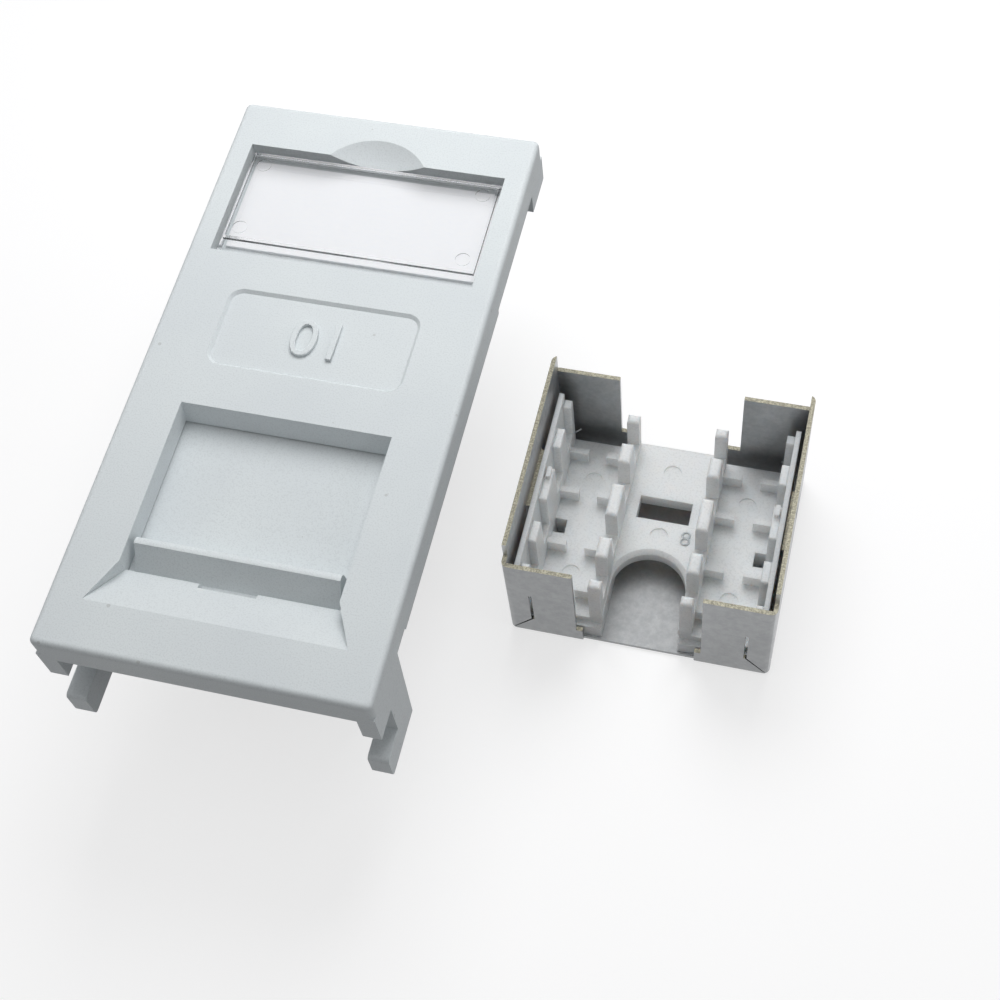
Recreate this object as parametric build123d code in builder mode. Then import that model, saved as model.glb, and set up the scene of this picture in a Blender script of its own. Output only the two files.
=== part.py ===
from build123d import *
import os

os.makedirs("parts", exist_ok=True)

# Frame: the origin is the centre of the front face, on its outer plane.
# X runs across the face, Y up it and Z out of it. All lengths are millimetres.

# Module face, the standard 25 x 50 insert
face_width = 25.0
face_height = 50.0
face_thickness = 2.0
face_edge_radius = 0.45
face_corner_radius = 0.5
module_depth = 20.7
skirt_wall = 1.3
skirt_depth = 2.7
side_mid_depth = 3.1
side_mid_from_top = 15.0
side_mid_from_bottom = 7.5

# Snap legs at the lower corners and lugs at the upper ones
foot_depth = 5.4
foot_width = 1.4
leg_thickness = 1.6
leg_depth = 11.9
leg_from_bottom = 5.5
leg_taper = 0.6
rail_slot_length = 2.3
finger_depth = 2.8
finger_overhang = 0.3
finger_radius = 0.4
lug_thickness = 0.7
lug_length = 3.6
lug_depth = 4.7

# Label pocket, its card and its clear cover
pocket_margin = 4.33
pocket_width = 21.3
pocket_height = 10.8
pocket_depth = 2.45
pocket_floor = 0.9
pocket_boss_wall = 0.9
card_thickness = 0.25
cover_clearance = 0.15
cover_plate = 1.35
cover_lift_gap = 0.05
window_rise = 0.4
window_side_margin = 0.35
window_top_margin = 0.57
window_bottom_margin = 1.63
window_bevel = 0.15
ejector_radius = 0.6
ejector_inset = 1.1
ejector_mark = 0.06

# Thumb scoop in the face above the label
scoop_radius = 8.0
scoop_reach = 4.8
scoop_inset = 2.72

# Recessed plate between label and shutter
plate_gap = 3.27
plate_width = 15.5
plate_height = 7.1
plate_depth = 0.25
plate_slope = 45.0
plate_radius = 1.2

# Shutter recess with the flared ramp below it
ramp_margin = 3.9
ramp_length = 3.4
ramp_depth = 1.5
ramp_flare = 1.6
recess_width = 16.4
recess_height = 13.5
recess_lean = 0.45
notch_width = 4.4
notch_length = 0.4
notch_offset = -0.3

# Sliding shutter
shutter_clearance = 0.15
shutter_thickness = 1.2
shutter_side_lap = 1.0
shutter_top_lap = 1.2
shutter_bottom_lap = 0.4
bar_end_clearance = 0.45
bar_top_clearance = 0.1
bar_height = 2.0
bar_foot = 0.5
bar_width = 1.9
bar_ramp_clearance = 0.15
bar_hollow = 0.45

# Shutter guides and the seat for the socket behind them
guide_wall = 0.85
guide_overrun = 1.2
guide_lip = 0.9
seat_thickness = 0.7
stop_wall = 0.8
stop_clearance = 0.2
cheek_wall = 0.8
cheek_length = 5.3
cheek_inset = 2.3
cheek_clearance = 0.25
barb_width = 4.0
barb_height = 0.6
barb_reach = 0.5
barb_clearance = 0.3

# Socket body and the plug space in it
socket_seat_gap = 0.05
socket_wall = 1.0
socket_floor = 0.8
socket_back_wall = 3.55
plug_drop = 3.5
plug_width = 11.8
plug_height = 6.8
latch_width = 6.3
latch_height = 1.7
key_width = 3.4
key_height = 0.9
contact_room = 4.0
shield_sheet = 0.25
shield_gap = 0.05
shield_front_setback = 0.4

# Contact springs and the insert that holds them
contact_count = 8
contact_pitch = 1.02
contact_width = 0.36
contact_sheet = 0.3
contact_bend = 0.5
contact_run_height = 1.3
contact_nose = 2.6
contact_tip_drop = 3.2
contact_tip_back = 6.4
contact_tail_inset = 3.8
contact_tail_stagger = 2.0
contact_tail_height = 0.5
carrier_side_wall = 1.25
carrier_gap = 0.1
carrier_slot_clearance = 0.1
carrier_front = 4.0
carrier_back_wall = 1.55
carrier_lead = 0.8

# Circuit board on top of the socket
board_gap = 0.1
board_thickness = 1.2
board_setback = 1.0
tail_hole_radius = 0.35

# Wire clips in their two terminal blocks
block_clearance = 0.3
block_width = 3.0
block_height = 8.2
block_base = 2.6
block_wire_slot = 1.1
clip_thickness = 0.4
clip_width = 1.6
clip_slot = 0.4
clip_slot_depth = 3.6
clip_below_top = 1.0
clip_tail_width = 0.7
clip_tail_length = 1.25
clip_clearance = 0.1
clip_mouth = 0.5

# Screening cap, lying open side up beside the module
cap_x = 27.0
cap_y = 0.9
cap_width = 21.0
cap_overhang = 1.95
cap_sheet = 0.35
cap_side_height = 12.7
cap_panel_height = 11.1
cap_panel_width = 5.5
cap_front_foot = 0.5
cap_front_foot_height = 1.9
cap_back_foot = 1.6
cap_back_foot_height = 3.3
cap_end_step = 1.0
cap_base_setback = 0.3
cap_bend_radius = 0.5
cap_base_radius = 0.4
seam_width = 0.12
seam_run = 2.0
seam_rise = 2.5
slit_width = 0.25
slit_height = 4.1
tongue_length = 5.2
tongue_height = 4.2
tongue_top = 9.0
tongue_clearance = 0.1
tongue_slot = 0.2

# Wire organiser inside the cap
organiser_side_gap = 0.35
organiser_end_gap = 0.85
organiser_set = 0.2
floor_height = 2.6
deck_height = 3.7
deck_plate = 1.3
deck_half_width = 3.1
inner_wall = 1.0
outer_wall = 1.05
outer_skin = 0.4
tooth_height = 8.1
outer_tooth_height = 8.7
skin_height = 9.5
comb_round = 0.15
tooth_round = 0.3
slot_floor_height = 4.7
end_tooth = 0.8
second_tooth = 1.85
middle_tooth = 2.9
ledge_length = 0.5
ledge_height = 1.9
arch_radius = 3.0
arch_apex = 6.1
arch_bevel = 0.35
window_width = 4.3
window_length = 2.05
window_centre = 2.1
hole_width = 1.0
hole_length = 1.3
hole_centre = -0.35
rib_length = 0.5
rib_height = 3.9
rib_reach = 1.55
mark_radius = 0.72
mark_depth = 0.12
deck_marks = (5.65, -0.3)
channel_mark = 4.4
catch_length = 0.9
catch_height = 0.5

# Face: heights of what is cut into it, from its edges inward
half_width = face_width / 2
half_height = face_height / 2
pocket_top = half_height - pocket_margin
pocket_bottom = pocket_top - pocket_height
pocket_centre = (pocket_top + pocket_bottom) / 2
plate_centre = pocket_bottom - plate_gap - plate_height / 2
ramp_bottom = -half_height + ramp_margin
recess_bottom = ramp_bottom + ramp_length
recess_top = recess_bottom + recess_height
recess_half_width = recess_width / 2
ramp_half_width = recess_half_width + ramp_flare
side_mid_top = half_height - side_mid_from_top
side_mid_bottom = -half_height + side_mid_from_bottom
leg_top = -half_height + leg_from_bottom
rail_slot_end = -half_height + rail_slot_length
finger_front = leg_depth - finger_depth

# Shutter, its travel and its guides
shutter_half_width = recess_half_width + shutter_side_lap
shutter_front = -(face_thickness + shutter_clearance)
shutter_back = shutter_front - shutter_thickness
shutter_top = recess_top + shutter_top_lap
shutter_bottom = recess_bottom - shutter_bottom_lap
bar_half_width = recess_half_width - bar_end_clearance
bar_bottom = recess_bottom + bar_ramp_clearance
bar_ridge = bar_bottom + bar_width
bar_top = bar_ridge + bar_foot
shutter_travel = recess_top - recess_lean - bar_top_clearance - bar_top
guide_top = shutter_top + shutter_travel + guide_overrun
guide_inner = shutter_half_width + shutter_clearance
guide_outer = guide_inner + guide_wall
stop_top = shutter_bottom - stop_clearance
stop_bottom = stop_top - stop_wall
seat_front = shutter_back - shutter_clearance
seat_back = seat_front - seat_thickness

# Socket, behind the seat and down to the surface that the module lies on
table = -module_depth
socket_front = seat_back - socket_seat_gap
socket_back = table + shield_sheet + shield_gap
socket_length = socket_front - socket_back
socket_half_width = plug_width / 2 + socket_wall
plug_top = recess_top - plug_drop
plug_depth = socket_length - socket_back_wall
latch_top = plug_top - plug_height
key_top = latch_top - latch_height
socket_top = plug_top + contact_room
socket_bottom = key_top - key_height - socket_floor
shield_front = socket_front - shield_front_setback
shield_half_width = socket_half_width + shield_gap + shield_sheet
shield_bottom = socket_bottom - shield_gap - shield_sheet
cheek_inner = shield_half_width + cheek_clearance
cheek_top = socket_top - cheek_inset
cheek_bottom = socket_bottom + cheek_inset
barb_middle = (cheek_top + cheek_bottom) / 2
barb_back = seat_back - cheek_length

# Contact insert, contact springs and circuit board
carrier_half_width = plug_width / 2 - carrier_side_wall + shield_sheet + shield_gap + carrier_gap
carrier_back = socket_length - carrier_back_wall
carrier_bottom = plug_top + carrier_gap
carrier_top = socket_top - carrier_gap
contact_xs = [(i - (contact_count - 1) / 2) * contact_pitch for i in range(contact_count)]
run_y = plug_top + contact_run_height
nose_z = socket_front - contact_nose
tip_z = nose_z - contact_tip_back
tip_y = plug_top - contact_tip_drop
front_tail_z = socket_front - carrier_back + contact_tail_inset
tail_zs = [front_tail_z - (i % 2) * contact_tail_stagger for i in range(contact_count)]
board_bottom = socket_top + board_gap
board_top = board_bottom + board_thickness
board_front = socket_front - board_setback
board_length = board_front - table
board_middle = (board_front + table) / 2

# Cap and organiser, with the wire slots that the terminal blocks share
cap_depth = socket_front - table + cap_overhang
cap_inner_width = cap_width - 2 * cap_sheet
organiser_half_width = cap_inner_width / 2 - organiser_side_gap
organiser_length = cap_depth - 2 * cap_sheet - 2 * organiser_end_gap
channel_inner = deck_half_width + inner_wall
channel_outer = organiser_half_width - outer_wall
tongue_lean = organiser_side_gap - tongue_clearance
teeth_length = 2 * end_tooth + 2 * second_tooth + middle_tooth
wire_slot = (organiser_length - teeth_length) / 4
inner_slot = (middle_tooth + wire_slot) / 2
outer_slot = inner_slot + second_tooth + wire_slot
wire_centres = (outer_slot, inner_slot, -inner_slot, -outer_slot)

# Terminal blocks, which go into the organiser's channels
block_inner = channel_inner + block_clearance
block_outer = block_inner + block_width
board_half_width = block_outer
clip_x = (block_inner + block_outer) / 2
clip_places = [board_middle + centre for centre in wire_centres]
block_top = board_top + block_height
clip_top = block_top - clip_below_top


# Wedge that is cut from the face to make the flared ramp
with BuildPart() as ramp_wedge:
    with BuildSketch(Plane.XY):
        with BuildLine():
            Polyline(
                (-ramp_half_width, ramp_bottom),
                (ramp_half_width, ramp_bottom),
                (recess_half_width, recess_bottom),
                (-recess_half_width, recess_bottom),
                close=True,
            )
        make_face()
    extrude(amount=-ramp_depth)
    with BuildSketch(Plane.YZ):
        with BuildLine():
            Polyline(
                (ramp_bottom, 0),
                (recess_bottom, 0),
                (recess_bottom, -ramp_depth),
                close=True,
            )
        make_face()
    extrude(amount=ramp_half_width, both=True, mode=Mode.INTERSECT)


# Front frame: face, skirt, snap legs, guides and the cheeks that hold the socket
with BuildPart() as front_frame:
    with BuildSketch(Plane.XY):
        RectangleRounded(face_width, face_height, face_corner_radius)
    extrude(amount=-skirt_depth)
    fillet(front_frame.faces().sort_by(Axis.Z)[-1].edges(), face_edge_radius)
    with BuildSketch(Plane.XY.offset(-skirt_depth)):
        Rectangle(face_width - 2 * skirt_wall, face_height - 2 * skirt_wall)
    extrude(amount=skirt_depth - face_thickness, mode=Mode.SUBTRACT)

    # Deeper middle of each side wall
    with BuildSketch(Plane.XY.offset(-face_thickness)):
        for side in (-1, 1):
            with Locations((side * (half_width - skirt_wall / 2), (side_mid_top + side_mid_bottom) / 2)):
                Rectangle(skirt_wall, side_mid_top - side_mid_bottom)
    extrude(amount=-(side_mid_depth - face_thickness))

    # Corner feet, snap legs with their fingers, and the upper lugs
    for side in (-1, 1):
        with BuildSketch(Plane.YZ.offset(side * half_width)):
            with BuildLine():
                Polyline(
                    (leg_top, -face_thickness),
                    (leg_top - leg_taper, -leg_depth),
                    (-half_height - finger_overhang, -leg_depth),
                    (-half_height - finger_overhang, -finger_front),
                    (rail_slot_end, -finger_front),
                    (rail_slot_end, -face_thickness),
                    close=True,
                )
            make_face()
            tip_corners = vertices().group_by(Axis.X)[0]
            fillet(tip_corners, finger_radius)
        extrude(amount=-side * leg_thickness)
        with BuildSketch(Plane.YZ.offset(side * half_width)):
            with Locations((-half_height + rail_slot_length / 2, -(face_thickness + foot_depth) / 2)):
                Rectangle(rail_slot_length, foot_depth - face_thickness)
        extrude(amount=-side * foot_width)
        with BuildSketch(Plane.YZ.offset(side * half_width)):
            with Locations((half_height - lug_length / 2, -(face_thickness + lug_depth) / 2)):
                Rectangle(lug_length, lug_depth - face_thickness)
        extrude(amount=-side * lug_thickness)

    # Boss behind the face that carries the floor of the label pocket
    with BuildSketch(Plane.XY.offset(-face_thickness)):
        with Locations((0, pocket_centre)):
            Rectangle(face_width - 2 * skirt_wall, pocket_height + 2 * pocket_boss_wall)
    extrude(amount=-(pocket_depth + pocket_floor - face_thickness))

    # Guide rails, and the seat frame behind the shutter
    with BuildSketch(Plane.XY.offset(-face_thickness)):
        for side in (-1, 1):
            with Locations((side * (guide_inner + guide_wall / 2), (guide_top + stop_bottom) / 2)):
                Rectangle(guide_wall, guide_top - stop_bottom)
        with Locations((0, (stop_top + stop_bottom) / 2)):
            Rectangle(2 * guide_outer, stop_top - stop_bottom)
    extrude(amount=seat_front + face_thickness)
    with BuildSketch(Plane.XY.offset(seat_front)):
        with Locations((0, (guide_top + stop_bottom) / 2)):
            Rectangle(2 * guide_outer, guide_top - stop_bottom)
        with Locations((0, (guide_top + shutter_top) / 2)):
            Rectangle(2 * (shutter_half_width - guide_lip), guide_top - shutter_top, mode=Mode.SUBTRACT)
        with Locations((0, (plug_top + recess_bottom) / 2)):
            Rectangle(plug_width + 2 * guide_lip, plug_top + 2 * guide_lip - recess_bottom, mode=Mode.SUBTRACT)
    extrude(amount=-seat_thickness)

    # Cheeks with barbs that snap into the socket's sides
    with BuildSketch(Plane.XY.offset(seat_back)):
        for side in (-1, 1):
            with Locations((side * (cheek_inner + cheek_wall / 2), (cheek_top + cheek_bottom) / 2)):
                Rectangle(cheek_wall, cheek_top - cheek_bottom)
    extrude(amount=barb_back - seat_back)
    for side in (-1, 1):
        with BuildSketch(Plane.XZ.offset(-(barb_middle + barb_width / 2))):
            with BuildLine():
                Polyline(
                    (side * cheek_inner, barb_back),
                    (side * (cheek_inner - barb_reach), barb_back + barb_height),
                    (side * cheek_inner, barb_back + barb_height),
                    close=True,
                )
            make_face()
        extrude(amount=barb_width)

    # Label pocket, thumb scoop and recessed plate
    with BuildSketch(Plane.XY):
        with Locations((0, pocket_centre)):
            Rectangle(pocket_width, pocket_height)
    extrude(amount=-pocket_depth, mode=Mode.SUBTRACT)
    scoop_height = (scoop_radius**2 - scoop_reach**2) ** 0.5
    with Locations((0, pocket_top - scoop_inset, scoop_height)):
        Sphere(scoop_radius, mode=Mode.SUBTRACT)
    with BuildSketch(Plane.XY):
        with Locations((0, plate_centre)):
            RectangleRounded(plate_width, plate_height, plate_radius)
    extrude(amount=-plate_depth, taper=plate_slope, mode=Mode.SUBTRACT)

    # Shutter recess with its leaning top wall, the ramp and the notch in the ramp's edge
    with BuildSketch(Plane.YZ):
        with BuildLine():
            Polyline(
                (recess_bottom, 0),
                (recess_top, 0),
                (recess_top - recess_lean, -face_thickness),
                (recess_bottom, -face_thickness),
                close=True,
            )
        make_face()
    extrude(amount=recess_half_width, both=True, mode=Mode.SUBTRACT)
    with BuildSketch(Plane.XY):
        with Locations((notch_offset, recess_bottom - notch_length / 2)):
            Rectangle(notch_width, notch_length)
    extrude(amount=-face_thickness, mode=Mode.SUBTRACT)
    add(ramp_wedge.part, mode=Mode.SUBTRACT)

front_frame.part.label = "front_frame"
export_step(front_frame.part, "parts/front_frame.step")


# Shutter: sliding plate with the finger bar across its lower edge
with BuildPart() as shutter:
    with BuildSketch(Plane.XY.offset(shutter_front)):
        with Locations((0, (shutter_top + shutter_bottom) / 2)):
            Rectangle(2 * shutter_half_width, shutter_top - shutter_bottom)
    extrude(amount=-shutter_thickness)
    with BuildSketch(Plane.YZ):
        with BuildLine():
            lip_front = shutter_front + bar_height
            face_middle = (bar_ridge - bar_hollow + bar_bottom) / 2 + bar_hollow / 2
            Line((bar_top, shutter_front), (bar_ridge + bar_hollow / 2, lip_front - bar_hollow))
            ThreePointArc(
                (bar_ridge + bar_hollow / 2, lip_front - bar_hollow),
                (bar_ridge, lip_front - bar_hollow / 5),
                (bar_ridge - bar_hollow, lip_front),
            )
            ThreePointArc(
                (bar_ridge - bar_hollow, lip_front),
                (face_middle, (lip_front + shutter_front) / 2),
                (bar_bottom, shutter_front),
            )
            Line((bar_bottom, shutter_front), (bar_top, shutter_front))
        make_face()
    extrude(amount=bar_half_width, both=True)

shutter.part.label = "shutter"
export_step(shutter.part, "parts/shutter.step")


# Label card lying on the pocket's floor, as large as the cover's window
cover_window_width = pocket_width - 2 * window_side_margin
window_height = pocket_height - window_top_margin - window_bottom_margin
window_middle = pocket_bottom + window_bottom_margin + window_height / 2
with BuildPart() as label_card:
    with BuildSketch(Plane.XY.offset(-pocket_depth)):
        with Locations((0, window_middle)):
            Rectangle(cover_window_width, window_height)
    extrude(amount=card_thickness)

label_card.part.label = "label_card"
export_step(label_card.part, "parts/label_card.step")


# Clear label cover: a plate with a raised, bevelled window
cover_back = -pocket_depth + card_thickness + cover_lift_gap
cover_front = cover_back + cover_plate
with BuildPart() as label_cover:
    with BuildSketch(Plane.XY.offset(cover_back)):
        with Locations((0, pocket_centre)):
            Rectangle(pocket_width - 2 * cover_clearance, pocket_height - 2 * cover_clearance)
    extrude(amount=cover_plate)
    with BuildSketch(Plane.XY.offset(cover_front)):
        with Locations((0, window_middle)):
            Rectangle(cover_window_width, window_height)
    extrude(amount=window_rise)
    chamfer(label_cover.faces().sort_by(Axis.Z)[-1].edges(), window_bevel)
    with BuildSketch(Plane.XY.offset(cover_front + window_rise)):
        with Locations((0, window_middle)):
            with GridLocations(cover_window_width - 2 * ejector_inset, window_height - 2 * ejector_inset, 2, 2):
                Circle(ejector_radius)
    extrude(amount=-ejector_mark, mode=Mode.SUBTRACT)

label_cover.part.label = "label_cover"
export_step(label_cover.part, "parts/label_cover.step")


# Socket housing with the plug space, the latch step and room for the contact insert
with BuildPart() as socket_housing:
    with BuildSketch(Plane.XY.offset(socket_front)):
        with Locations((0, (socket_top + socket_bottom) / 2)):
            Rectangle(2 * socket_half_width, socket_top - socket_bottom)
    extrude(amount=socket_back - socket_front)
    with BuildSketch(Plane.XY.offset(socket_front)):
        with Locations((0, plug_top - plug_height / 2)):
            Rectangle(plug_width, plug_height)
        with Locations((0, latch_top - latch_height / 2)):
            Rectangle(latch_width, latch_height)
        with Locations((0, key_top - key_height / 2)):
            Rectangle(key_width, key_height)
    extrude(amount=-plug_depth, mode=Mode.SUBTRACT)
    with BuildSketch(Plane.XZ.offset(-socket_top)):
        with Locations((0, socket_front - (carrier_front + carrier_back) / 2)):
            Rectangle(
                2 * (carrier_half_width + carrier_gap),
                carrier_back - carrier_front + 2 * carrier_gap,
            )
    extrude(amount=socket_top - plug_top, mode=Mode.SUBTRACT)
    with BuildSketch(Plane.XZ.offset(-plug_top)):
        nose_room = carrier_front - contact_nose + 2 * contact_sheet
        with Locations((0, socket_front - carrier_front + nose_room / 2)):
            Rectangle(2 * carrier_half_width, nose_room)
    extrude(amount=-(contact_run_height + contact_sheet + carrier_gap), mode=Mode.SUBTRACT)
    for side in (-1, 1):
        with Locations((side * socket_half_width, barb_middle, barb_back + barb_height / 2)):
            Box(
                2 * (barb_reach - cheek_clearance),
                barb_width + 2 * barb_clearance,
                barb_height + 2 * barb_clearance,
                mode=Mode.SUBTRACT,
            )

socket_housing.part.label = "socket_housing"
export_step(socket_housing.part, "parts/socket_housing.step")


# Socket shield: folded sheet round the sides, the underside and the back
with BuildPart() as socket_shield:
    with BuildSketch(Plane.XY.offset(shield_front)):
        with Locations((0, (socket_top + shield_bottom) / 2)):
            Rectangle(2 * shield_half_width, socket_top - shield_bottom)
    extrude(amount=table - shield_front)
    with BuildSketch(Plane.XY.offset(shield_front)):
        with Locations((0, (socket_top + socket_bottom - shield_gap) / 2)):
            Rectangle(
                2 * (shield_half_width - shield_sheet),
                socket_top - socket_bottom + shield_gap,
            )
    extrude(amount=table + shield_sheet - shield_front, mode=Mode.SUBTRACT)
    with Locations((0, barb_middle, barb_back + barb_height / 2)):
        Box(
            2 * shield_half_width,
            barb_width + 2 * barb_clearance,
            barb_height + 2 * barb_clearance,
            mode=Mode.SUBTRACT,
        )

socket_shield.part.label = "socket_shield"
export_step(socket_shield.part, "parts/socket_shield.step")


# Contact springs: tail through the board, run forward, then slope back into the plug space

def contact_spring(x, tail_z):
    """One flat spring, bent in its own plane."""
    with BuildPart() as spring:
        with BuildSketch(Plane.YZ.offset(x - contact_width / 2)):
            with BuildLine() as route:
                FilletPolyline(
                    (board_top + contact_tail_height, tail_z),
                    (run_y, tail_z),
                    (run_y, nose_z),
                    (tip_y, tip_z),
                    radius=contact_bend,
                )
            trace(route.line, line_width=contact_sheet)
        extrude(amount=contact_width)
    return spring.part


for number, (x, tail_z) in enumerate(zip(contact_xs, tail_zs), start=1):
    contact = contact_spring(x, tail_z)
    contact.label = f"contact_{number}"
    export_step(contact, f"parts/contact_{number}.step")


# Contact insert: a block with a comb of slots for the springs
with BuildPart() as contact_carrier:
    with BuildSketch(Plane.XZ.offset(-carrier_top)):
        with Locations((0, socket_front - (carrier_front + carrier_back) / 2)):
            Rectangle(2 * carrier_half_width, carrier_back - carrier_front)
    extrude(amount=carrier_top - carrier_bottom)
    front_edge = contact_carrier.faces().sort_by(Axis.Z)[-1].edges().sort_by(Axis.Y)[0]
    chamfer(front_edge, carrier_lead)
    slot_width = contact_width + 2 * carrier_slot_clearance
    slot_floor = run_y - contact_sheet / 2 - carrier_slot_clearance
    with BuildSketch(Plane.XZ.offset(-carrier_top)):
        for x, tail_z in zip(contact_xs, tail_zs):
            slot_back = tail_z - contact_sheet / 2 - carrier_slot_clearance
            with Locations((x, (socket_front + slot_back) / 2)):
                Rectangle(slot_width, socket_front - slot_back)
    extrude(amount=carrier_top - slot_floor, mode=Mode.SUBTRACT)

contact_carrier.part.label = "contact_carrier"
export_step(contact_carrier.part, "parts/contact_carrier.step")


# Circuit board that joins the contact tails to the wire clips
with BuildPart() as circuit_board:
    with BuildSketch(Plane.XZ.offset(-board_bottom)):
        with Locations((0, board_middle)):
            Rectangle(2 * board_half_width, board_length)
        for x, tail_z in zip(contact_xs, tail_zs):
            with Locations((x, tail_z)):
                Circle(tail_hole_radius, mode=Mode.SUBTRACT)
        for place in clip_places:
            for side in (-1, 1):
                with Locations((side * clip_x, place)):
                    Circle(clip_tail_width / 2 + clip_clearance, mode=Mode.SUBTRACT)
    extrude(amount=-board_thickness)

circuit_board.part.label = "circuit_board"
export_step(circuit_board.part, "parts/circuit_board.step")


# Terminal blocks: each holds four wire clips between its pillars
for side, name in ((-1, "idc_block_left"), (1, "idc_block_right")):
    with BuildPart() as block:
        with BuildSketch(Plane.XZ.offset(-board_top)):
            with Locations((side * clip_x, board_middle)):
                Rectangle(block_width, board_length)
        extrude(amount=-block_height)
        with BuildSketch(Plane.XZ.offset(-block_top)):
            with Locations(*[(side * clip_x, place) for place in clip_places]):
                Rectangle(block_width, block_wire_slot)
        extrude(amount=block_height - block_base, mode=Mode.SUBTRACT)
        with BuildSketch(Plane.XZ.offset(-block_top)):
            with Locations(*[(side * clip_x, place) for place in clip_places]):
                Rectangle(clip_thickness + 2 * clip_clearance, clip_width + 2 * clip_clearance)
        extrude(amount=block_height, mode=Mode.SUBTRACT)
    block.part.label = name
    export_step(block.part, f"parts/{name}.step")


def wire_clip(x, z):
    """Forked clip that cuts through a wire's insulation as the wire is pressed in."""
    with BuildPart() as clip:
        with BuildSketch(Plane.YZ.offset(x - clip_thickness / 2)):
            with Locations(((board_top + clip_top) / 2, z)):
                Rectangle(clip_top - board_top, clip_width)
            with Locations((board_top - clip_tail_length / 2, z)):
                Rectangle(clip_tail_length, clip_tail_width)
            with Locations((clip_top - clip_slot_depth / 2, z)):
                Rectangle(clip_slot_depth, clip_slot, mode=Mode.SUBTRACT)
            with BuildLine():
                Polyline(
                    (clip_top, z - clip_mouth),
                    (clip_top, z + clip_mouth),
                    (clip_top - clip_mouth, z),
                    close=True,
                )
            make_face(mode=Mode.SUBTRACT)
        extrude(amount=clip_thickness)
    return clip.part


clip_spots = [(side * clip_x, place) for side in (-1, 1) for place in clip_places]
for number, (x, z) in enumerate(clip_spots, start=1):
    clip = wire_clip(x, z)
    clip.label = f"idc_clip_{number}"
    export_step(clip, f"parts/idc_clip_{number}.step")


# Cap shield: one folded sheet with full side walls and four folded-in end panels
cap_base = Plane((cap_x, cap_y, table))
panel_inner = cap_width / 2 - cap_panel_width
with BuildPart() as cap_shield:
    with BuildSketch(cap_base):
        Rectangle(cap_width, cap_depth)
    extrude(amount=cap_side_height)
    upright = cap_shield.edges().filter_by(Axis.Z)
    fillet(upright, cap_bend_radius)
    fillet(cap_shield.faces().sort_by(Axis.Z)[0].edges(), cap_base_radius)
    with BuildSketch(cap_base.offset(cap_sheet)):
        Rectangle(cap_inner_width, cap_depth - 2 * cap_sheet)
    extrude(amount=cap_side_height, mode=Mode.SUBTRACT)

    # Open middle of the ends, above the base and above the feet of the panels
    end_cuts = (
        (-1, cap_front_foot, cap_front_foot_height, cap_width, cap_end_step),
        (1, cap_back_foot, cap_back_foot_height, cap_inner_width, 2 * cap_sheet),
    )
    for end, foot, foot_height, top_width, top_length in end_cuts:
        with BuildSketch(cap_base):
            with Locations((0, end * cap_depth / 2)):
                Rectangle(2 * (panel_inner - foot), 2 * cap_base_setback)
        extrude(amount=cap_side_height, mode=Mode.SUBTRACT)
        with BuildSketch(cap_base.offset(cap_sheet)):
            with Locations((0, end * cap_depth / 2)):
                Rectangle(2 * (panel_inner - foot), 4 * cap_sheet)
        extrude(amount=cap_side_height, mode=Mode.SUBTRACT)
        with BuildSketch(cap_base.offset(foot_height)):
            with Locations((0, end * cap_depth / 2)):
                Rectangle(2 * panel_inner, 4 * cap_sheet)
        extrude(amount=cap_side_height, mode=Mode.SUBTRACT)
        with BuildSketch(cap_base.offset(cap_panel_height)):
            with Locations((0, end * (cap_depth - top_length) / 2)):
                Rectangle(top_width, top_length)
        extrude(amount=cap_side_height, mode=Mode.SUBTRACT)

    # Diagonal seams at the four corners, and slits above the front ones
    cap_middle = Plane((cap_x, cap_y, table), x_dir=(1, 0, 0), z_dir=(0, -1, 0))
    for side in (-1, 1):
        slit_x = side * (cap_width / 2 - seam_run)
        with BuildSketch(cap_middle):
            with Locations((slit_x, seam_rise + slit_height / 2)):
                Rectangle(slit_width, slit_height)
        extrude(amount=cap_depth, mode=Mode.SUBTRACT)
        with BuildSketch(cap_middle):
            with BuildLine():
                Polyline(
                    (side * cap_width / 2, seam_width),
                    (side * cap_width / 2, 0),
                    (slit_x, seam_rise),
                    (slit_x, seam_rise + 2 * seam_width),
                    close=True,
                )
            make_face()
        extrude(amount=cap_depth, both=True, mode=Mode.SUBTRACT)

    # Earthing tongues lanced from the side walls and leaning in
    for side in (-1, 1):
        wall_x = side * (cap_width / 2 - cap_sheet / 2)
        with Locations((cap_x + wall_x, cap_y, table + tongue_top - tongue_height / 2)):
            Box(
                2 * cap_sheet,
                tongue_length + 2 * tongue_slot,
                tongue_height + 2 * tongue_slot,
                mode=Mode.SUBTRACT,
            )
        with BuildSketch(Plane((cap_x, cap_y - tongue_length / 2, table), x_dir=(1, 0, 0), z_dir=(0, 1, 0))):
            root = -(tongue_top - tongue_height - tongue_slot)
            tip = -tongue_top
            outer = side * cap_width / 2
            with BuildLine():
                Polyline(
                    (outer, root),
                    (outer - side * cap_sheet, root),
                    (outer - side * (cap_sheet + tongue_lean), tip),
                    (outer - side * tongue_lean, tip),
                    close=True,
                )
            make_face()
        extrude(amount=tongue_length)

cap_shield.part.label = "cap_shield"
export_step(cap_shield.part, "parts/cap_shield.step")


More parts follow.
